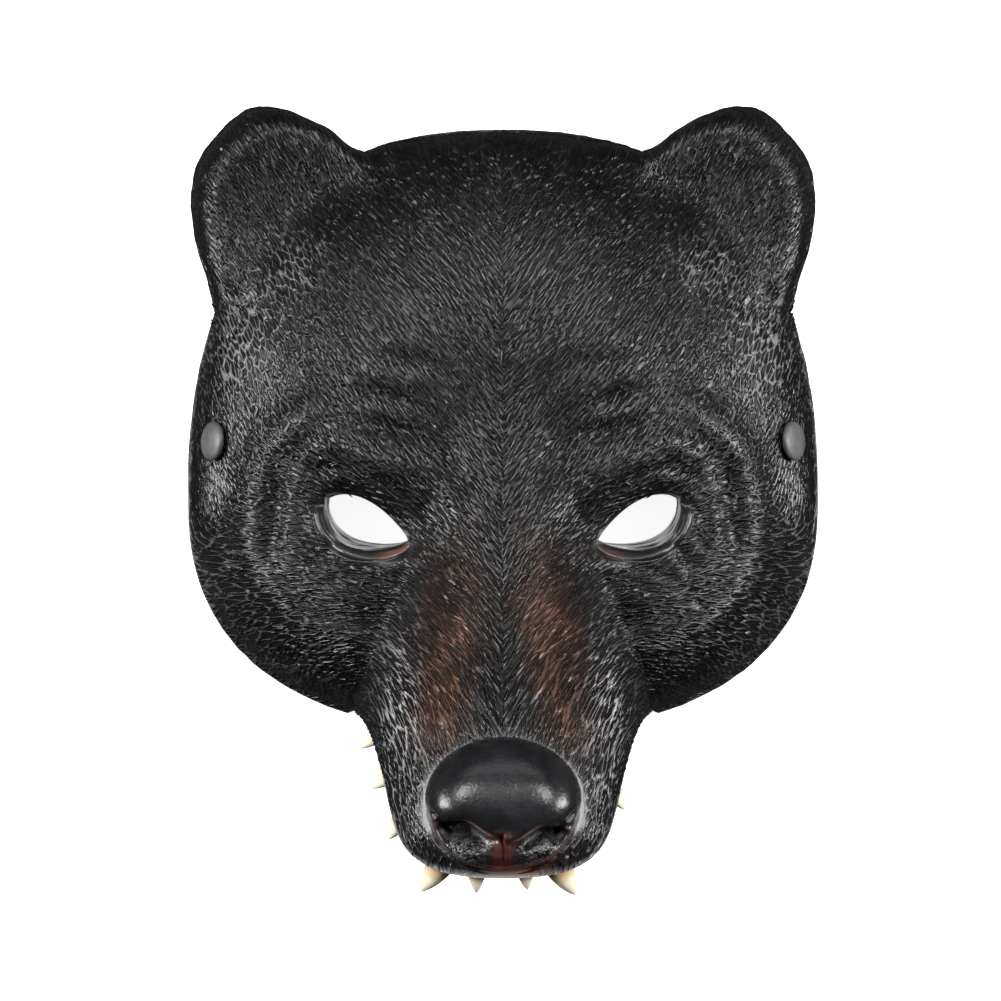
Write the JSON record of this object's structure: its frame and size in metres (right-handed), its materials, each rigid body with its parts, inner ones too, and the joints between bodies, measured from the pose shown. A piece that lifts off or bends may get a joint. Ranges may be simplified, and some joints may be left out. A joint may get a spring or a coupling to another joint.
{
  "type": "bear mask",
  "caption": "Moulded black bear half mask with ears, eye holes, muzzle, ivory teeth and a snap cap at each temple, open under the jaw.",
  "frame": {"origin": "middle of the footprint, on the surface that the back rim rests on", "axes": "+X across the face towards the wearer's left, +Y up the face towards the ears, +Z out of the face"},
  "size_m": [0.1824, 0.2184, 0.1214],
  "materials": {
    "shell": "semi-gloss painted foam rubber with moulded fur, grey on its raised strands and brown on the muzzle",
    "tooth": "ivory, yellower towards the root",
    "rivet": "satin grey"
  },
  "bodies": {
    "root": {"mask_shell": "shell", "rivet_left": "rivet", "rivet_right": "rivet", "cheek_tooth_left_1": "tooth", "cheek_tooth_left_2": "tooth", "cheek_tooth_left_3": "tooth", "canine_left": "tooth", "incisor_left": "tooth", "incisor_right": "tooth", "canine_right": "tooth", "cheek_tooth_right_3": "tooth", "cheek_tooth_right_2": "tooth", "cheek_tooth_right_1": "tooth"}
  },
  "joints": []
}
